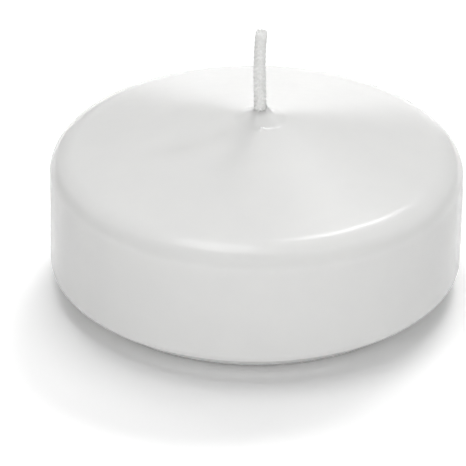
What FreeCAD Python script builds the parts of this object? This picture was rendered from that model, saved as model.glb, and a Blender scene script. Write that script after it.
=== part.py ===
import FreeCAD, Part
import os
import Sketcher

# Floating candle: a cast wax disc with a shallow cone top, a braided wick through its middle,
# and the steel tab under the base that the wick is crimped into.
# Millimetres, Z up, origin at the centre of the flat base.

SIZES = [
    ("body_radius", 38.0, "wax disc, out to its upright wall"),
    ("base_radius", 32.0, "flat base, out to where the tapered side starts"),
    ("taper_height", 4.5, "height of the tapered lower side"),
    ("edge_height", 24.7, "base to the sharp line where wall and shoulder would meet"),
    ("shoulder_width", 3.5, "shoulder, from the wall in to the sharp line where the cone top would start"),
    ("shoulder_rise", 2.0, "rise of the shoulder between those two lines"),
    ("crown_rise", 7.9, "rise of the cone top from its line to its point"),
    ("shoulder_round", 3.5, "round between wall and shoulder"),
    ("crown_round", 8.5, "round between shoulder and cone top"),
    ("taper_round", 2.0, "round between tapered side and wall"),
    ("base_round", 2.0, "round between base and tapered side"),
    ("wick_offset", 0.8, "wick axis, off the middle of the disc"),
    ("wick_radius", 1.15, "waxed wick"),
    ("wick_stand", 16.7, "wick end above the point of the top"),
    ("wick_turn", 3.5, "height over which the wick leans before it bows back"),
    ("wick_bow", 85.0, "radius of the wick's lean and of its bow"),
    ("wick_tip_round", 0.25, "worn edge of the cut wick end"),
    ("wick_fit", 0.05, "gap between wick and wax"),
    ("foot_radius", 3.5, "mound of wax round the foot of the wick"),
    ("foot_drop", 0.45, "top of the mound's rim, below the point of the top"),
    ("foot_root", 2.0, "depth that the mound goes down into the disc"),
    ("foot_climb", 1.75, "height that the wax climbs the wick"),
    ("foot_film", 0.15, "wax film on the wick at the top of the climb"),
    ("foot_round", 0.2, "round on the mound's rim"),
    ("tab_radius", 7.5, "steel tab under the base"),
    ("tab_thickness", 0.3, "sheet that the tab is stamped from"),
    ("tab_inset", 0.3, "underside of the tab, above the base"),
    ("tab_fit", 0.1, "gap round the tab in its recess"),
    ("neck_wall", 0.4, "wall of the tab's crimped neck"),
    ("neck_height", 3.0, "neck above the tab"),
    ("neck_root", 0.5, "round between tab and neck"),
    ("neck_fit", 0.05, "gap round the neck in the wax"),
    ("neck_headroom", 0.1, "gap above the neck in the wax"),
    ("crimp_fit", 0.03, "gap between wick and neck"),
]

# Heights and radii that several pieces share, worked out from the sizes
DERIVED = [
    ("crown_radius", "=body_radius - shoulder_width"),
    ("crown_height", "=edge_height + shoulder_rise"),
    ("apex_height", "=crown_height + crown_rise"),
    ("climb_height", "=apex_height + foot_climb"),
    ("channel_radius", "=wick_radius + wick_fit"),
    ("tab_top", "=tab_inset + tab_thickness"),
    ("neck_bore", "=wick_radius + crimp_fit"),
    ("neck_radius", "=neck_bore + neck_wall"),
]

# A sketch's own origin, how near two places count as one, and how far along a hollow curve's
# two ways its middle lies
ORIGIN = (-1, 1)
CLOSE = 1e-5
HOLLOW = 0.3

doc = FreeCAD.newDocument("floating_candle")
sizes = doc.addObject("Spreadsheet::Sheet", "Sizes")
row = 0
for alias, value, note in SIZES:
    row += 1
    sizes.set(f"A{row}", note)
    sizes.set(f"B{row}", str(value))
    sizes.setAlias(f"B{row}", alias)
for alias, formula in DERIVED:
    row += 1
    sizes.set(f"B{row}", formula)
    sizes.setAlias(f"B{row}", alias)
doc.recompute()


def size(alias):
    """The value of one cell of the sheet."""
    return float(getattr(sizes, alias))


def new_body(name):
    """An empty body whose label names its file."""
    body = doc.addObject("PartDesign::Body", name)
    body.Label = name
    return body


def new_sketch(body, name, role, along="0", up="0"):
    """A sketch on one of the body's own origin planes, moved along it and off it."""
    sketch = body.newObject("Sketcher::SketchObject", name)
    plane = next(f for f in body.Origin.OriginFeatures if f.Role == role)
    sketch.AttachmentSupport = (plane, [""])
    sketch.MapMode = "FlatFace"
    sketch.setExpression(".AttachmentOffset.Base.x", along)
    sketch.setExpression(".AttachmentOffset.Base.z", up)
    return sketch


def line(sketch, start, end):
    """A line, drawn roughly in place before its constraints set it."""
    points = [FreeCAD.Vector(x, y, 0) for x, y in (start, end)]
    return sketch.addGeometry(Part.LineSegment(*points), False)


def arc(sketch, start, middle, end):
    """An arc through three points, and the numbers of its ends that lie at start and end."""
    points = [FreeCAD.Vector(x, y, 0) for x, y in (start, middle, end)]
    index = sketch.addGeometry(Part.Arc(*points), False)
    first = sketch.getPoint(index, 1)
    ends = (1, 2) if first.distanceToPoint(points[0]) < CLOSE else (2, 1)
    return index, ends


def bind(sketch, name, expression, kind, *where):
    """A dimension of the sketch that follows the sheet."""
    value = float(sketch.evalExpression(expression))
    index = sketch.addConstraint(Sketcher.Constraint(kind, *where, value))
    sketch.renameConstraint(index, name)
    sketch.setExpression(f"Constraints.{name}", expression)


def across(sketch, name, expression, *point):
    """How far a point of the sketch lies from the sketch's upright axis."""
    bind(sketch, name, expression, "DistanceX", *ORIGIN, *point)


def above(sketch, name, expression, *point):
    """How far a point of the sketch lies above the sketch's level axis."""
    bind(sketch, name, expression, "DistanceY", *ORIGIN, *point)


def join(sketch, *pairs):
    """Ends that meet, as (curve, end, curve, end)."""
    for pair in pairs:
        sketch.addConstraint(Sketcher.Constraint("Coincident", *pair))


def polygon(sketch, corners):
    """Lines from corner to corner and back to the first."""
    count = len(corners)
    sides = [line(sketch, corners[i], corners[(i + 1) % count]) for i in range(count)]
    join(sketch, *[(sides[i], 2, sides[(i + 1) % count], 1) for i in range(count)])
    return sides


def round_corner(sketch, name, side, expression):
    """Rounds the corner at a side's far end. The sizes still set the sharp corner, kept as a point."""
    first_new = sketch.GeometryCount
    sketch.fillet(side, 2, float(sketch.evalExpression(expression)), 1, True)
    curves = range(first_new, sketch.GeometryCount)
    rounding = next(i for i in curves if isinstance(sketch.Geometry[i], Part.ArcOfCircle))
    bind(sketch, name, expression, "Radius", rounding)


def hold(sketch, kind, *curves):
    """Horizontal or Vertical lines."""
    for curve in curves:
        sketch.addConstraint(Sketcher.Constraint(kind, curve))


def revolve(body, sketch, name):
    """A solid turned about the sketch's upright axis."""
    turned = body.newObject("PartDesign::Revolution", name)
    turned.Profile = sketch
    turned.ReferenceAxis = (sketch, ["V_Axis"])
    turned.Angle = 360.0
    doc.recompute()
    return turned


def bore(body, name, radius, depth=None):
    """A round hole up from the base plane, on the wick's axis, all the way if it has no depth."""
    sketch = new_sketch(body, f"{name}Sketch", "XY_Plane", along="Sizes.wick_offset")
    circle = sketch.addGeometry(Part.Circle(FreeCAD.Vector(0, 0, 0), FreeCAD.Vector(0, 0, 1), 1.0), False)
    join(sketch, (circle, 3, *ORIGIN))
    bind(sketch, "radius", radius, "Radius", circle)
    before = body.Tip.Shape.Volume
    hole = body.newObject("PartDesign::Pocket", name)
    hole.Profile = sketch
    hole.Reversed = True
    if depth is None:
        hole.Type = "ThroughAll"
    else:
        hole.setExpression("Length", depth)
    doc.recompute()
    if hole.Shape.Volume >= before:
        raise RuntimeError(f"{name} cuts nothing")
    return hole


def rim(feature, radius, height, centre_x=0.0):
    """The name of a feature's round edge of that radius, at that height and place."""
    place = FreeCAD.Vector(centre_x, 0, height)
    for number, edge in enumerate(feature.Shape.Edges, start=1):
        if not isinstance(edge.Curve, Part.Circle):
            continue
        if abs(edge.Curve.Radius - radius) < CLOSE and edge.Curve.Center.distanceToPoint(place) < CLOSE:
            return f"Edge{number}"
    raise RuntimeError(f"{feature.Label} has no round edge of radius {radius} at height {height}")


def soften(body, kind, name, edge, expression):
    """A fillet or chamfer of one edge of the body's last feature."""
    last = body.Tip
    feature = body.newObject(f"PartDesign::{kind}", name)
    feature.Base = (last, [edge])
    feature.setExpression("Radius" if kind == "Fillet" else "Size", expression)
    doc.recompute()
    return feature


# Wax body

wax = new_body("wax_body")
profile = new_sketch(wax, "WaxProfile", "XZ_Plane")
base, taper, wall, shoulder, top, axis = polygon(
    profile,
    [
        (0, 0),
        (size("base_radius"), 0),
        (size("body_radius"), size("taper_height")),
        (size("body_radius"), size("edge_height")),
        (size("crown_radius"), size("crown_height")),
        (0, size("apex_height")),
    ],
)
join(profile, (base, 1, *ORIGIN))
hold(profile, "Horizontal", base)
hold(profile, "Vertical", wall, axis)
across(profile, "base_radius", "Sizes.base_radius", base, 2)
across(profile, "body_radius", "Sizes.body_radius", wall, 1)
above(profile, "taper_height", "Sizes.taper_height", wall, 1)
above(profile, "edge_height", "Sizes.edge_height", wall, 2)
across(profile, "crown_radius", "Sizes.crown_radius", shoulder, 2)
above(profile, "crown_height", "Sizes.crown_height", shoulder, 2)
above(profile, "apex_height", "Sizes.apex_height", top, 2)
round_corner(profile, "base_round", base, "Sizes.base_round")
round_corner(profile, "taper_round", taper, "Sizes.taper_round")
round_corner(profile, "shoulder_round", wall, "Sizes.shoulder_round")
round_corner(profile, "crown_round", shoulder, "Sizes.crown_round")
revolve(wax, profile, "WaxDisc")

# The mound at the foot of the wick: a low rim, then a hollow curve up the wick
mound_profile = new_sketch(wax, "FootProfile", "XZ_Plane", along="Sizes.wick_offset")
root_height = size("apex_height") - size("foot_root")
rim_height = size("apex_height") - size("foot_drop")
film_radius = size("wick_radius") + size("foot_film")
foot_radius = size("foot_radius")
climb_height = size("climb_height")
floor = line(mound_profile, (0, root_height), (foot_radius, root_height))
side = line(mound_profile, (foot_radius, root_height), (foot_radius, rim_height))
hollow_middle = (
    film_radius + HOLLOW * (foot_radius - film_radius),
    rim_height + HOLLOW * (climb_height - rim_height),
)
hollow_start = (foot_radius, rim_height)
hollow_end = (film_radius, climb_height)
hollow, hollow_ends = arc(mound_profile, hollow_start, hollow_middle, hollow_end)
lid = line(mound_profile, (film_radius, climb_height), (0, climb_height))
mound_axis = line(mound_profile, (0, climb_height), (0, root_height))
join(
    mound_profile,
    (floor, 2, side, 1),
    (side, 2, hollow, hollow_ends[0]),
    (hollow, hollow_ends[1], lid, 1),
    (lid, 2, mound_axis, 1),
    (mound_axis, 2, floor, 1),
)
hold(mound_profile, "Horizontal", floor, lid)
hold(mound_profile, "Vertical", side, mound_axis)
mound_profile.addConstraint(Sketcher.Constraint("PointOnObject", floor, 1, -2))
mound_profile.addConstraint(Sketcher.Constraint("Horizontal", hollow, 3, hollow, hollow_ends[1]))
across(mound_profile, "foot_radius", "Sizes.foot_radius", side, 1)
across(mound_profile, "film_radius", "Sizes.wick_radius + Sizes.foot_film", lid, 1)
above(mound_profile, "root_height", "Sizes.apex_height - Sizes.foot_root", floor, 1)
above(mound_profile, "rim_height", "Sizes.apex_height - Sizes.foot_drop", side, 2)
above(mound_profile, "climb_height", "Sizes.climb_height", lid, 1)
mound = revolve(wax, mound_profile, "FootMound")
mound_edge = rim(mound, foot_radius, rim_height, size("wick_offset"))
soften(wax, "Fillet", "FootRim", mound_edge, "Sizes.foot_round")

# The recess for the tab, the bore for its neck, and the wick's channel
bore(wax, "TabRecess", "Sizes.tab_radius + Sizes.tab_fit", "Sizes.tab_top")
neck_hole = bore(
    wax,
    "NeckBore",
    "Sizes.neck_radius + Sizes.neck_fit",
    "Sizes.tab_top + Sizes.neck_height + Sizes.neck_headroom",
)
mouth = rim(neck_hole, size("neck_radius") + size("neck_fit"), size("tab_top"), size("wick_offset"))
soften(wax, "Chamfer", "NeckMouth", mouth, "Sizes.neck_root + Sizes.neck_fit")
bore(wax, "WickChannel", "Sizes.channel_radius")

# Wick

wick = new_body("wick")
path = new_sketch(wick, "WickPath", "XZ_Plane", along="Sizes.wick_offset")
tip_height = size("apex_height") + size("wick_stand")
turn_height = size("climb_height") + size("wick_turn")
bow = size("wick_bow")


def lean(height):
    """Roughly how far the wick stands off its axis, for the first drawing of its path."""
    turn = size("wick_turn")
    start = height - size("climb_height")
    if start <= turn:
        return -start**2 / (2 * bow)
    past = start - turn
    return -turn**2 / (2 * bow) - turn / bow * past + past**2 / (2 * bow)


def three_points(low, high):
    """Points at the start, middle and end of a stretch of the wick."""
    return [(lean(z), z) for z in (low, (low + high) / 2, high)]


held = line(path, (0, size("tab_inset")), (0, climb_height))
leaning, leaning_ends = arc(path, *three_points(climb_height, turn_height))
bowing, bowing_ends = arc(path, *three_points(turn_height, tip_height))
path.addConstraint(Sketcher.Constraint("Vertical", held))
path.addConstraint(Sketcher.Constraint("PointOnObject", held, 1, -2))
path.addConstraint(Sketcher.Constraint("Tangent", held, 2, leaning, leaning_ends[0]))
path.addConstraint(Sketcher.Constraint("Tangent", leaning, leaning_ends[1], bowing, bowing_ends[0]))
above(path, "tab_inset", "Sizes.tab_inset", held, 1)
above(path, "climb_height", "Sizes.climb_height", held, 2)
above(path, "turn_height", "Sizes.climb_height + Sizes.wick_turn", leaning, leaning_ends[1])
above(path, "tip_height", "Sizes.apex_height + Sizes.wick_stand", bowing, bowing_ends[1])
bind(path, "lean_radius", "Sizes.wick_bow", "Radius", leaning)
bind(path, "bow_radius", "Sizes.wick_bow", "Radius", bowing)

section = new_sketch(wick, "WickSection", "XY_Plane", along="Sizes.wick_offset", up="Sizes.tab_inset")
ring = section.addGeometry(Part.Circle(FreeCAD.Vector(0, 0, 0), FreeCAD.Vector(0, 0, 1), 1.0), False)
join(section, (ring, 3, *ORIGIN))
bind(section, "radius", "Sizes.wick_radius", "Radius", ring)
doc.recompute()
cord = wick.newObject("PartDesign::AdditivePipe", "WickCord")
cord.Profile = section
cord.Spine = (path, ["Edge1", "Edge2", "Edge3"])
doc.recompute()


def highest_edge(feature):
    """The name of a feature's highest edge."""
    heights = [edge.CenterOfMass.z for edge in feature.Shape.Edges]
    return f"Edge{heights.index(max(heights)) + 1}"


soften(wick, "Fillet", "WickTip", highest_edge(cord), "Sizes.wick_tip_round")

# Wick sustainer: the stamped tab and its neck, turned in one profile

tab = new_body("wick_sustainer")
tab_profile = new_sketch(tab, "TabProfile", "XZ_Plane", along="Sizes.wick_offset")
neck_bore = size("neck_bore")
neck_radius = size("neck_radius")
neck_top = size("tab_top") + size("neck_height")
under, tab_edge, upper, outer, crown, inner = polygon(
    tab_profile,
    [
        (neck_bore, size("tab_inset")),
        (size("tab_radius"), size("tab_inset")),
        (size("tab_radius"), size("tab_top")),
        (neck_radius, size("tab_top")),
        (neck_radius, neck_top),
        (neck_bore, neck_top),
    ],
)
hold(tab_profile, "Horizontal", under, upper, crown)
hold(tab_profile, "Vertical", tab_edge, outer, inner)
across(tab_profile, "neck_bore", "Sizes.neck_bore", under, 1)
across(tab_profile, "tab_radius", "Sizes.tab_radius", under, 2)
across(tab_profile, "neck_radius", "Sizes.neck_radius", outer, 1)
above(tab_profile, "tab_inset", "Sizes.tab_inset", under, 1)
above(tab_profile, "tab_top", "Sizes.tab_top", upper, 1)
above(tab_profile, "neck_top", "Sizes.tab_top + Sizes.neck_height", crown, 1)
stamping = revolve(tab, tab_profile, "TabStamping")
root_edge = rim(stamping, neck_radius, size("tab_top"), size("wick_offset"))
soften(tab, "Fillet", "NeckRoot", root_edge, "Sizes.neck_root")

# Checks, then one STEP file for each piece

doc.recompute()
for thing in doc.Objects:
    if any(word in thing.State for word in ("Invalid", "Error")):
        raise RuntimeError(f"{thing.Label} failed to build: {thing.State}")

os.makedirs("parts", exist_ok=True)
for body in (wax, wick, tab):
    shape = body.Shape
    if shape.isNull() or not shape.isValid() or len(shape.Solids) != 1:
        raise RuntimeError(f"{body.Label} isn't one valid solid")
    shape.exportStep(os.path.join("parts", f"{body.Label}.step"))
    box = shape.optimalBoundingBox()
    spans = f"x {box.XMin:.2f} to {box.XMax:.2f}, z {box.ZMin:.2f} to {box.ZMax:.2f}"
    print(f"{body.Label}: {shape.Volume:.2f} mm3, {spans}")
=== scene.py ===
import bmesh
import bpy
import math
import random
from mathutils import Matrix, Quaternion, Vector


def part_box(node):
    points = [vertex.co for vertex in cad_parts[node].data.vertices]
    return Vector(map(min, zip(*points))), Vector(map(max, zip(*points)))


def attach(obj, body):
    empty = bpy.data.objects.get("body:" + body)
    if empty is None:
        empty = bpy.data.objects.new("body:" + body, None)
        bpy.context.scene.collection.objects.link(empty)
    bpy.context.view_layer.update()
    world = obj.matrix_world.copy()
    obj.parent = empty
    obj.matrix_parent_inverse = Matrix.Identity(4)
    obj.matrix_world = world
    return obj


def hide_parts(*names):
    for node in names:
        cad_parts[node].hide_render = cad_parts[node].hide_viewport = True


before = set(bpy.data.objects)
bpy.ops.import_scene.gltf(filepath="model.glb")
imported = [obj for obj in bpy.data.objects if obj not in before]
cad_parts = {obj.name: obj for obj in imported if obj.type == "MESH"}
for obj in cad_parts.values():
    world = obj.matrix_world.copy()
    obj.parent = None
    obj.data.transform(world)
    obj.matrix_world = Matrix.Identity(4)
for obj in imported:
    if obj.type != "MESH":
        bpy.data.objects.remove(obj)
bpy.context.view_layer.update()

# Wick tab
# A disc of tinned steel, stamped from sheet with a neck that is crimped round the end of the wick. It lies
# in a shallow recess of the base, so it shows only from below.

MM = 0.001
TINNED_STEEL = (0.72, 0.72, 0.73, 1)
TARNISHED_STEEL = (0.62, 0.61, 0.6, 1)


def new_finish(name):
    """A new material, its node tree and its shader."""
    finish = bpy.data.materials.new(name)
    finish.use_nodes = True
    return finish, finish.node_tree, finish.node_tree.nodes["Principled BSDF"]


def noise_of(tree, size, detail=2.0, stretch=(1, 1, 1)):
    """Noise on the piece's own coordinates, with lumps of about that size, as a node."""
    place = tree.nodes.new("ShaderNodeTexCoord")
    turn = tree.nodes.new("ShaderNodeMapping")
    turn.inputs["Scale"].default_value = stretch
    noise = tree.nodes.new("ShaderNodeTexNoise")
    noise.inputs["Scale"].default_value = 1 / size
    noise.inputs["Detail"].default_value = detail
    tree.links.new(place.outputs["Object"], turn.inputs["Vector"])
    tree.links.new(turn.outputs["Vector"], noise.inputs["Vector"])
    return noise


def spread(tree, source, low, high):
    """Noise spread evenly between two numbers, as a socket."""
    span = tree.nodes.new("ShaderNodeMapRange")
    span.inputs["From Min"].default_value = 0.3
    span.inputs["From Max"].default_value = 0.7
    span.inputs["To Min"].default_value = low
    span.inputs["To Max"].default_value = high
    tree.links.new(source, span.inputs["Value"])
    return span.outputs["Result"]


def blend_colours(tree, source, one, other):
    """A colour between two, by noise, as a socket."""
    mix = tree.nodes.new("ShaderNodeMix")
    mix.data_type = "RGBA"
    mix.inputs["A"].default_value = one
    mix.inputs["B"].default_value = other
    tree.links.new(spread(tree, source, 0, 1), mix.inputs["Factor"])
    return mix.outputs["Result"]


def relief(tree, height, depth):
    """A bump that deep in metres, as a socket."""
    bump = tree.nodes.new("ShaderNodeBump")
    bump.inputs["Strength"].default_value = 1
    bump.inputs["Distance"].default_value = depth
    tree.links.new(height, bump.inputs["Height"])
    return bump.outputs["Normal"]


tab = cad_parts["wick_sustainer"]
tab_finish, tree, shader = new_finish("tinned_steel")
rolled = noise_of(tree, 0.4 * MM, 3, (0.15, 1, 1))
spangle = noise_of(tree, 3 * MM, 1)
colour = blend_colours(tree, spangle.outputs["Fac"], TINNED_STEEL, TARNISHED_STEEL)
tree.links.new(colour, shader.inputs["Base Color"])
tree.links.new(spread(tree, rolled.outputs["Fac"], 0.28, 0.45), shader.inputs["Roughness"])
tree.links.new(relief(tree, rolled.outputs["Fac"], 0.01 * MM), shader.inputs["Normal"])
shader.inputs["Metallic"].default_value = 1
tab.data.materials.clear()
tab.data.materials.append(tab_finish)

# Wick
# A round braid of sixteen cotton yarns, eight each way round a straight core, dipped in wax that fills
# the braid and leaves the yarns just proud. It runs from the tab to its cut end above the wax.

wick_low, wick_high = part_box("wick")
WICK_OFFSET = 0.8 * MM
WICK_RADIUS = 1.15 * MM
CLIMB_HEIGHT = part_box("wax_body")[1].z
LEAN_HEIGHT = 3.5 * MM
BOW_RADIUS = 85 * MM
WICK_TAPER = 0.08
YARNS_EACH_WAY = 8
YARN_RADIUS = 0.28 * MM
YARN_CROSSING = 0.1 * MM
BRAID_LAY = 8 * MM
CORE_RADIUS = 0.85 * MM
CUT_DROP = 0.25 * MM
CUT_UNEVENNESS = 0.15 * MM
VOXEL = 0.085 * MM
WAXED_COTTON = (0.84, 0.84, 0.83, 1)
DRY_COTTON = (0.87, 0.87, 0.86, 1)
WICK_LIGHT_DEPTH = 1.2 * MM
WAX_IOR = 1.44


def wick_lean(z):
    """How far the middle of the wick stands off its axis at a height: a slight lean, then a bow back."""
    start = max(0, z - CLIMB_HEIGHT)
    if start <= LEAN_HEIGHT:
        return -start**2 / (2 * BOW_RADIUS)
    past = start - LEAN_HEIGHT
    return (past**2 - LEAN_HEIGHT**2 - 2 * LEAN_HEIGHT * past) / (2 * BOW_RADIUS)


def lay_yarn(turn, start, top):
    """One yarn of the braid, as a tube round the origin's axis. It dips under each yarn that it crosses."""
    crossing = BRAID_LAY / (2 * YARNS_EACH_WAY)
    middle = WICK_RADIUS - YARN_RADIUS
    count = int((top - wick_low.z) / (crossing / 4))
    curve = bpy.data.curves.new("yarn", "CURVE")
    curve.dimensions = "3D"
    curve.bevel_depth = YARN_RADIUS
    curve.bevel_resolution = 1
    curve.use_fill_caps = True
    line = curve.splines.new("POLY")
    line.points.add(count)
    for step, point in enumerate(line.points):
        z = wick_low.z + (top - wick_low.z) * step / count
        angle = start + turn * math.tau * z / BRAID_LAY
        radius = middle + turn * YARN_CROSSING * math.cos(math.pi * z / crossing)
        point.co = (radius * math.cos(angle), radius * math.sin(angle), z, 1)
    yarn = bpy.data.objects.new("yarn", curve)
    bpy.context.collection.objects.link(yarn)
    return yarn


random.seed(4)
bpy.ops.object.select_all(action="DESELECT")
core_top = wick_high.z - CUT_DROP - CUT_UNEVENNESS
bpy.ops.mesh.primitive_cylinder_add(
    vertices=24, radius=CORE_RADIUS, depth=core_top - wick_low.z, location=(0, 0, (core_top + wick_low.z) / 2)
)
wick = bpy.context.object
wick.name = "waxed_wick"
bpy.ops.object.transform_apply(location=True)
for turn in (1, -1):
    for number in range(YARNS_EACH_WAY):
        top = wick_high.z - CUT_DROP - random.uniform(-1, 1) * CUT_UNEVENNESS
        lay_yarn(turn, math.tau * number / YARNS_EACH_WAY, top).select_set(True)
wick.select_set(True)
bpy.context.view_layer.objects.active = wick
bpy.ops.object.convert(target="MESH")
bpy.ops.object.join()
remesh = wick.modifiers.new("soak", "REMESH")
remesh.mode = "VOXEL"
remesh.voxel_size = VOXEL
bpy.ops.object.modifier_apply(modifier="soak")
smooth = wick.modifiers.new("wax_fill", "SMOOTH")
smooth.factor = 0.5
smooth.iterations = 6
bpy.ops.object.modifier_apply(modifier="wax_fill")
for vertex in wick.data.vertices:
    slim = 1 - WICK_TAPER * max(0, vertex.co.z - CLIMB_HEIGHT) / (wick_high.z - CLIMB_HEIGHT)
    vertex.co.x = vertex.co.x * slim + WICK_OFFSET + wick_lean(vertex.co.z)
    vertex.co.y *= slim
bpy.ops.object.shade_smooth()

wick_finish, tree, shader = new_finish("waxed_cotton")
fibres = noise_of(tree, 0.12 * MM, 3, (1, 1, 0.35))
soaked = noise_of(tree, 1.5 * MM, 1)
colour = blend_colours(tree, soaked.outputs["Fac"], WAXED_COTTON, DRY_COTTON)
tree.links.new(colour, shader.inputs["Base Color"])
tree.links.new(spread(tree, soaked.outputs["Fac"], 0.4, 0.6), shader.inputs["Roughness"])
tree.links.new(relief(tree, fibres.outputs["Fac"], 0.006 * MM), shader.inputs["Normal"])
shader.inputs["Subsurface Weight"].default_value = 1
shader.inputs["Subsurface Radius"].default_value = (1, 1, 1)
shader.inputs["Subsurface Scale"].default_value = WICK_LIGHT_DEPTH
shader.inputs["IOR"].default_value = WAX_IOR
wick.data.materials.clear()
wick.data.materials.append(wick_finish)
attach(wick, "root")
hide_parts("wick")

# Wax disc
# One casting of white paraffin wax, with a recess for the tab and a drop of wax round the foot of the wick.
# Its outline is drawn in the plane y = 0 and spun, then pushed about where the wax set unevenly. It closes
# round the wick, so that light spreads through it as in real wax.

wax_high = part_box("wax_body")[1]
tab_low, tab_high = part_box("wick_sustainer")
BODY_RADIUS = wax_high.x
BASE_RADIUS = 32 * MM
TAPER_HEIGHT = 4.5 * MM
EDGE_HEIGHT = 24.7 * MM
SHOULDER_WIDTH = 3.5 * MM
SHOULDER_RISE = 2 * MM
CROWN_RISE = 7.9 * MM
SHOULDER_ROUND = 3.5 * MM
CROWN_ROUND = 8.5 * MM
EDGE_ROUND = 2 * MM
FILM_RADIUS = 1.18 * MM
FILM_REACH = 0.6 * MM
FILM_TOP = wax_high.z - 0.9 * MM
DROP_HEIGHT = 0.4 * MM
DROP_FLAT = 1.8 * MM
DROP_EDGE = 5 * MM
RECESS_RADIUS = (tab_high.x - tab_low.x) / 2 + 0.1 * MM
RECESS_HEIGHT = tab_low.z + 0.3 * MM
NECK_BORE_RADIUS = 1.63 * MM
NECK_BORE_HEIGHT = tab_high.z + 0.1 * MM
NECK_MOUTH = 0.55 * MM
DROP_START = 9 * MM
# Place from the wick's axis, reach and shift, in millimetres
DROP_NUDGES = (
    ((0.85, 0.8, 35.5), 1.9, (0, 0, 0.9)),
    ((2.6, -1.6, 34.4), 2.6, (0, 0, 0.18)),
    ((2.2, -3.8, 34), 1.3, (0, 0, -0.07)),
    ((-1.5, -2, 34.4), 1.9, (0, 0, -0.06)),
    ((0.1, -4.6, 33.7), 0.8, (0, 0, 0.2)),
)
CROWN_SMOOTH = 33 * MM
MIDDLE_END = 9 * MM
MIDDLE_FADE = 25 * MM
TOP_TILT = 0.01
TOP_SHIFT = 0.2 * MM
TILT_START = 6 * MM
TILT_END = 20 * MM
SPIN_STEPS = 288
WHITE_WAX = (0.84, 0.84, 0.83, 1)
DENSE_WAX = (0.825, 0.825, 0.818, 1)
# Colour that the top is darkened to along the streak left of the wick
STREAK_COLOUR = (0.785, 0.785, 0.775, 1)
WAX_LIGHT_DEPTH = 3.5 * MM
# A darker streak on the top, running left from the wick's foot, as two soft oval patches: middle and half
# sizes in millimetres, and turn in degrees
STREAK_PATCHES = (
    ((-6, -4.8, 33), (7.5, 4.6, 9), 27),
    ((-13.5, -7.2, 31), (11, 5.2, 9), 5),
)

crown_radius = BODY_RADIUS - SHOULDER_WIDTH
crown_height = EDGE_HEIGHT + SHOULDER_RISE
slope = CROWN_RISE / crown_radius


def drawn_point(piece):
    """The point of an outline in edit mode that was drawn last."""
    mesh = bmesh.from_edit_mesh(piece.data)
    return next(vertex.co.copy() for vertex in mesh.verts if vertex.select)


def draw_to(piece, x, z, pieces=1):
    """Extrudes an outline's last point to (x, z), in so many equal pieces."""
    step = (Vector((x, 0, z)) - drawn_point(piece)) / pieces
    for _ in range(pieces):
        bpy.ops.mesh.extrude_region_move(TRANSFORM_OT_translate={"value": step})


def select_where(piece, wanted):
    """Selects the points of a piece in edit mode that pass a test of their place."""
    bpy.ops.mesh.select_all(action="DESELECT")
    mesh = bmesh.from_edit_mesh(piece.data)
    for vertex in mesh.verts:
        vertex.select = wanted(vertex.co)
    mesh.select_flush_mode()
    bmesh.update_edit_mesh(piece.data)


def round_corner(piece, x, z, radius, turn, pieces):
    """Rounds the outline's corner at (x, z), where its direction turns by that angle."""
    corner = Vector((x, 0, z))
    select_where(piece, lambda place: (place - corner).length < 0.01 * MM)
    tangent = radius * math.tan(turn / 2)
    bpy.ops.mesh.bevel(offset=tangent, segments=pieces, affect="VERTICES")


def nudge(piece, place, reach, shift):
    """Moves the point of a piece in edit mode nearest to a place, and less and less what is round it."""
    mesh = bmesh.from_edit_mesh(piece.data)
    nearest = min((vertex.co for vertex in mesh.verts), key=lambda point: (point - place).length).copy()
    select_where(piece, lambda point: (point - nearest).length < 0.001 * MM)
    bpy.ops.transform.translate(
        value=shift, use_proportional_edit=True, proportional_edit_falloff="SMOOTH", proportional_size=reach
    )


def smooth_share(value, start, end):
    """0 below the start, 1 past the end, and smooth between."""
    share = min(1, max(0, (value - start) / (end - start)))
    return share**2 * (3 - 2 * share)


def cone_height(radius):
    """Height of the cone top that far from the middle."""
    return crown_height + CROWN_RISE - slope * radius


def drop_height(radius):
    """Height of the top near the wick: the cone, the drop of wax on it and the film that climbs the wick."""
    drop = DROP_HEIGHT * (1 - smooth_share(radius, DROP_FLAT, DROP_EDGE))
    climb = FILM_TOP - cone_height(FILM_RADIUS) - DROP_HEIGHT
    return cone_height(radius) + drop + climb * math.exp((FILM_RADIUS - radius) / FILM_REACH)


bpy.ops.object.select_all(action="DESELECT")
bpy.ops.mesh.primitive_plane_add(size=MM, location=(0, 0, NECK_BORE_HEIGHT))
wax = bpy.context.object
wax.name = "wax_disc"
bpy.ops.object.transform_apply(location=True)
bpy.ops.object.mode_set(mode="EDIT")
bpy.ops.mesh.merge(type="CENTER")
draw_to(wax, NECK_BORE_RADIUS, NECK_BORE_HEIGHT)
draw_to(wax, NECK_BORE_RADIUS, RECESS_HEIGHT + NECK_MOUTH, 3)
draw_to(wax, NECK_BORE_RADIUS + NECK_MOUTH, RECESS_HEIGHT)
draw_to(wax, RECESS_RADIUS, RECESS_HEIGHT, 6)
draw_to(wax, RECESS_RADIUS, 0)
draw_to(wax, BASE_RADIUS, 0, 12)
draw_to(wax, BODY_RADIUS, TAPER_HEIGHT, 2)
draw_to(wax, BODY_RADIUS, EDGE_HEIGHT - SHOULDER_ROUND, 9)
draw_to(wax, BODY_RADIUS, EDGE_HEIGHT)
draw_to(wax, crown_radius, crown_height)
draw_to(wax, CROWN_SMOOTH, cone_height(CROWN_SMOOTH))
draw_to(wax, DROP_START, cone_height(DROP_START), 28)
ring = DROP_START
while ring > FILM_RADIUS + 0.05 * MM:
    ring = max(FILM_RADIUS, ring - max(0.06 * MM, 0.05 * (ring - FILM_RADIUS + 0.5 * MM)))
    draw_to(wax, ring, drop_height(ring))
draw_to(wax, 0, drawn_point(wax).z, 4)
taper = math.atan2(TAPER_HEIGHT, BODY_RADIUS - BASE_RADIUS)
shoulder = math.atan2(SHOULDER_RISE, SHOULDER_WIDTH)
round_corner(wax, crown_radius, crown_height, CROWN_ROUND, shoulder - math.atan(slope), 6)
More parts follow.
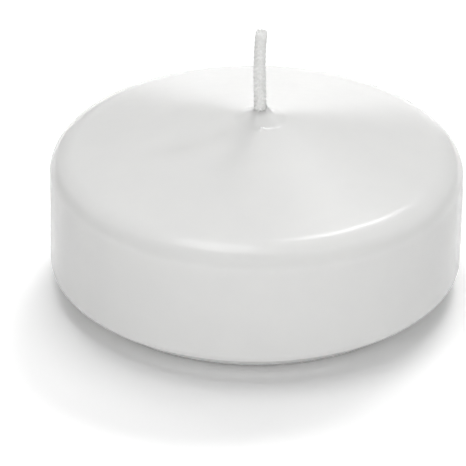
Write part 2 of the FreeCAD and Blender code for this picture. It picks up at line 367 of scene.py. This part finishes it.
round_corner(wax, BODY_RADIUS, EDGE_HEIGHT, SHOULDER_ROUND, math.pi / 2 - shoulder, 12)
round_corner(wax, BODY_RADIUS, TAPER_HEIGHT, EDGE_ROUND, math.pi / 2 - taper, 6)
round_corner(wax, BASE_RADIUS, 0, EDGE_ROUND, taper, 4)
bpy.ops.mesh.select_all(action="SELECT")
bpy.ops.mesh.spin(steps=SPIN_STEPS, angle=math.tau, center=(0, 0, 0), axis=(0, 0, 1))
bpy.ops.mesh.select_all(action="SELECT")
bpy.ops.mesh.remove_doubles(threshold=0.001 * MM)
bpy.ops.mesh.normals_make_consistent(inside=False)
bpy.ops.object.mode_set(mode="OBJECT")
for vertex in wax.data.vertices:
    middle = 1 - smooth_share(math.hypot(vertex.co.x, vertex.co.y), MIDDLE_END, MIDDLE_FADE)
    top = smooth_share(vertex.co.z, TILT_START, TILT_END)
    vertex.co.z -= TOP_TILT * vertex.co.x * top
    vertex.co.x += WICK_OFFSET * middle + TOP_SHIFT * top * (1 - middle)
bpy.ops.object.mode_set(mode="EDIT")
for (x, y, z), reach, shift in DROP_NUDGES:
    nudge(wax, Vector((x, y, z)) * MM + Vector((WICK_OFFSET, 0, 0)), reach * MM, Vector(shift) * MM)
bpy.ops.object.mode_set(mode="OBJECT")
bpy.ops.object.shade_smooth_by_angle(angle=math.radians(35))


def soft_patch(tree, middle, radii, turn):
    """1 in the middle of an oval patch and 0 past its edge, as a socket. The turn is in degrees."""
    place = tree.nodes.new("ShaderNodeTexCoord")
    mapping = tree.nodes.new("ShaderNodeMapping")
    mapping.vector_type = "TEXTURE"
    mapping.inputs["Location"].default_value = Vector(middle) * MM
    mapping.inputs["Rotation"].default_value = (0, 0, math.radians(turn))
    mapping.inputs["Scale"].default_value = Vector(radii) * MM
    fade = tree.nodes.new("ShaderNodeTexGradient")
    fade.gradient_type = "QUADRATIC_SPHERE"
    tree.links.new(place.outputs["Object"], mapping.inputs["Vector"])
    tree.links.new(mapping.outputs["Vector"], fade.inputs["Vector"])
    return fade.outputs["Fac"]


wax_finish, tree, shader = new_finish("paraffin_wax")
cloud = noise_of(tree, 6 * MM, 3)
frost = noise_of(tree, 1.6 * MM, 2)
colour = blend_colours(tree, cloud.outputs["Fac"], WHITE_WAX, DENSE_WAX)
# Darkens the base colour towards the streak colour inside each soft oval patch, so that a darker streak runs
# across the top to the left of the wick
for middle, radii, turn in STREAK_PATCHES:
    mix = tree.nodes.new("ShaderNodeMix")
    mix.data_type = "RGBA"
    mix.inputs["B"].default_value = STREAK_COLOUR
    tree.links.new(soft_patch(tree, middle, radii, turn), mix.inputs["Factor"])
    tree.links.new(colour, mix.inputs["A"])
    colour = mix.outputs["Result"]
tree.links.new(colour, shader.inputs["Base Color"])
tree.links.new(spread(tree, frost.outputs["Fac"], 0.19, 0.24), shader.inputs["Roughness"])
tree.links.new(relief(tree, frost.outputs["Fac"], 0.008 * MM), shader.inputs["Normal"])
shader.inputs["Subsurface Weight"].default_value = 1
shader.inputs["Subsurface Radius"].default_value = (1, 1, 1)
shader.inputs["Subsurface Scale"].default_value = WAX_LIGHT_DEPTH
shader.inputs["IOR"].default_value = WAX_IOR
wax.data.materials.clear()
wax.data.materials.append(wax_finish)
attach(wax, "root")
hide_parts("wax_body")

# Floor
# A plain white sheet that the candle stands on. The camera and mirrors see it bright enough to be white
# where nothing shades it. It is clear from below and has a hole under the base, so that the base shows.

FLOOR_RADIUS = 4
FLOOR_HOLE = 30.5 * MM
FLOOR_LIT = (0.75, 0.75, 0.75, 1)
FLOOR_SEEN = (1.2, 1.2, 1.2, 1)

bpy.ops.object.select_all(action="DESELECT")
bpy.ops.mesh.primitive_circle_add(vertices=96, radius=FLOOR_HOLE, fill_type="NOTHING", location=(0, 0, 0))
floor = bpy.context.object
floor.name = "floor"
bpy.ops.object.mode_set(mode="EDIT")
bpy.ops.mesh.extrude_region_move()
bpy.ops.transform.resize(value=(FLOOR_RADIUS / FLOOR_HOLE, FLOOR_RADIUS / FLOOR_HOLE, 1))
mesh = bmesh.from_edit_mesh(floor.data)
if any(face.normal.z < 0 for face in mesh.faces):
    bpy.ops.mesh.flip_normals()
bpy.ops.object.mode_set(mode="OBJECT")


def rays_of(tree, first, *others):
    """1 for rays of those kinds and 0 for the rest, as a socket."""
    rays = tree.nodes.new("ShaderNodeLightPath")
    total = rays.outputs[first]
    for other in others:
        either = tree.nodes.new("ShaderNodeMath")
        either.operation = "MAXIMUM"
        tree.links.new(total, either.inputs[0])
        tree.links.new(rays.outputs[other], either.inputs[1])
        total = either.outputs[0]
    return total


def mix_shaders(tree, factor, one, other):
    """A shader between two, as a socket."""
    mix = tree.nodes.new("ShaderNodeMixShader")
    tree.links.new(factor, mix.inputs[0])
    tree.links.new(one, mix.inputs[1])
    tree.links.new(other, mix.inputs[2])
    return mix.outputs[0]


floor_finish, tree, shader = new_finish("white_sheet")
tree.nodes.remove(shader)
lit = tree.nodes.new("ShaderNodeBsdfDiffuse")
lit.inputs["Color"].default_value = FLOOR_LIT
seen = tree.nodes.new("ShaderNodeBsdfDiffuse")
seen.inputs["Color"].default_value = FLOOR_SEEN
clear = tree.nodes.new("ShaderNodeBsdfTransparent")
side = tree.nodes.new("ShaderNodeNewGeometry")
looks = rays_of(tree, "Is Camera Ray", "Is Glossy Ray", "Is Transmission Ray")
sheet = mix_shaders(tree, looks, lit.outputs[0], seen.outputs[0])
sheet = mix_shaders(tree, side.outputs["Backfacing"], sheet, clear.outputs[0])
tree.links.new(sheet, tree.nodes["Material Output"].inputs["Surface"])
floor.data.materials.append(floor_finish)

# Light
# A dim tent with a bright backdrop behind, soft boxes and cards round the candle, and one under the floor's
# hole for the base. The shine is seen in reflections alone and draws the highlight on the shoulder. The tent
# is white to the camera, and below the floor also in reflections, so that the tab shows it.

TENT = 0.065
BACKDROP = 1.5
BACKDROP_DIRECTION = (0.08, 0.996, 0.03)
LAMP_DISTANCE = 1.5

world = bpy.data.worlds.new("tent")
bpy.context.scene.world = world
world.use_nodes = True
tree = world.node_tree
around = tree.nodes["Background"]
place = tree.nodes.new("ShaderNodeTexCoord")
nearness = tree.nodes.new("ShaderNodeVectorMath")
nearness.operation = "DOT_PRODUCT"
nearness.inputs[1].default_value = BACKDROP_DIRECTION
tree.links.new(place.outputs["Generated"], nearness.inputs[0])
glow = tree.nodes.new("ShaderNodeMapRange")
glow.interpolation_type = "SMOOTHSTEP"
glow.inputs["From Min"].default_value = 0.965
glow.inputs["From Max"].default_value = 0.985
glow.inputs["To Min"].default_value = TENT
glow.inputs["To Max"].default_value = BACKDROP
tree.links.new(nearness.outputs["Value"], glow.inputs["Value"])
around.inputs["Color"].default_value = (1, 1, 1, 1)
tree.links.new(glow.outputs["Result"], around.inputs["Strength"])
white = tree.nodes.new("ShaderNodeBackground")
white.inputs["Color"].default_value = (1, 1, 1, 1)
white.inputs["Strength"].default_value = 1
parts = tree.nodes.new("ShaderNodeSeparateXYZ")
tree.links.new(place.outputs["Generated"], parts.inputs["Vector"])
below = tree.nodes.new("ShaderNodeMath")
below.operation = "LESS_THAN"
below.inputs[1].default_value = 0
tree.links.new(parts.outputs["Z"], below.inputs[0])
mirrored = tree.nodes.new("ShaderNodeMath")
mirrored.operation = "MULTIPLY"
tree.links.new(rays_of(tree, "Is Glossy Ray"), mirrored.inputs[0])
tree.links.new(below.outputs[0], mirrored.inputs[1])
looks = tree.nodes.new("ShaderNodeMath")
looks.operation = "MAXIMUM"
tree.links.new(rays_of(tree, "Is Camera Ray", "Is Transmission Ray"), looks.inputs[0])
tree.links.new(mirrored.outputs[0], looks.inputs[1])
tent = mix_shaders(tree, looks.outputs[0], around.outputs[0], white.outputs[0])
tree.links.new(tent, tree.nodes["World Output"].inputs["Surface"])


def soft_box(name, azimuth, elevation, width, height, brightness, roll=0, lights=True, reflected=True):
    """An oval lamp that faces the candle, placed and rolled in degrees. 1 is as bright as white."""
    lamp = bpy.data.lights.new(name, "AREA")
    lamp.shape = "ELLIPSE"
    lamp.size = width
    lamp.size_y = height
    lamp.energy = brightness * math.pi**2 / 4 * width * height
    thing = bpy.data.objects.new(name, lamp)
    bpy.context.collection.objects.link(thing)
    turn = math.radians(azimuth)
    rise = math.radians(elevation)
    away = Vector((math.cos(rise) * math.cos(turn), math.cos(rise) * math.sin(turn), math.sin(rise)))
    thing.location = away * LAMP_DISTANCE
    thing.rotation_mode = "QUATERNION"
    thing.rotation_quaternion = away.to_track_quat("Z", "Y") @ Quaternion((0, 0, 1), math.radians(roll))
    thing.visible_camera = False
    thing.visible_diffuse = lights
    thing.visible_glossy = reflected
    return thing


soft_box("key", 69, 47, 0.5, 0.25, 15, reflected=False)
soft_box("shine", 64.5, 55.5, 0.2, 0.6, 10, roll=-20, lights=False)
soft_box("overhead", 150, 80, 0.55, 0.55, 4)
soft_box("overhead_right", 65, 77, 0.9, 0.9, 2.7, reflected=False)
soft_box("front_card", -90, 7, 1.4, 0.4, 7.2, reflected=False)
soft_box("front_panel", -90, 52, 1.6, 0.6, 0.85, reflected=False)
soft_box("left_panel", 180, 36, 2.2, 1, 0.36, reflected=False)
soft_box("back_panel", 90, 46, 2.2, 0.85, 1.8, reflected=False)
soft_box("right_panel", 0, 36, 2.2, 1, 0.35, reflected=False)
soft_box("base_card", -90, -85, 1, 1, 3)

# Camera
# A long lens that looks down on the candle from the front. It is aimed a little past the candle's middle,
# because the photo has the candle to the right of its middle and the wick's end near its upper edge.

ELEVATION = math.radians(29.3)
DISTANCE = 0.8
LENS = 334.4
AIM_HEIGHT = 14 * MM
AIM_RIGHT = -4.15 * MM
AIM_UP = -3.99 * MM

camera_data = bpy.data.cameras.new("camera")
camera_data.lens = LENS
camera_data.sensor_width = 36
camera_data.clip_start = 0.05
camera_data.clip_end = 20
camera = bpy.data.objects.new("camera", camera_data)
bpy.context.collection.objects.link(camera)
back = Vector((0, -math.cos(ELEVATION), math.sin(ELEVATION)))
up = Vector((0, math.sin(ELEVATION), math.cos(ELEVATION)))
camera.location = Vector((AIM_RIGHT, 0, AIM_HEIGHT)) + back * DISTANCE + up * AIM_UP
camera.rotation_mode = "QUATERNION"
camera.rotation_quaternion = (-back).to_track_quat("-Z", "Y")
bpy.context.scene.camera = camera
bpy.context.scene.view_settings.view_transform = "Standard"
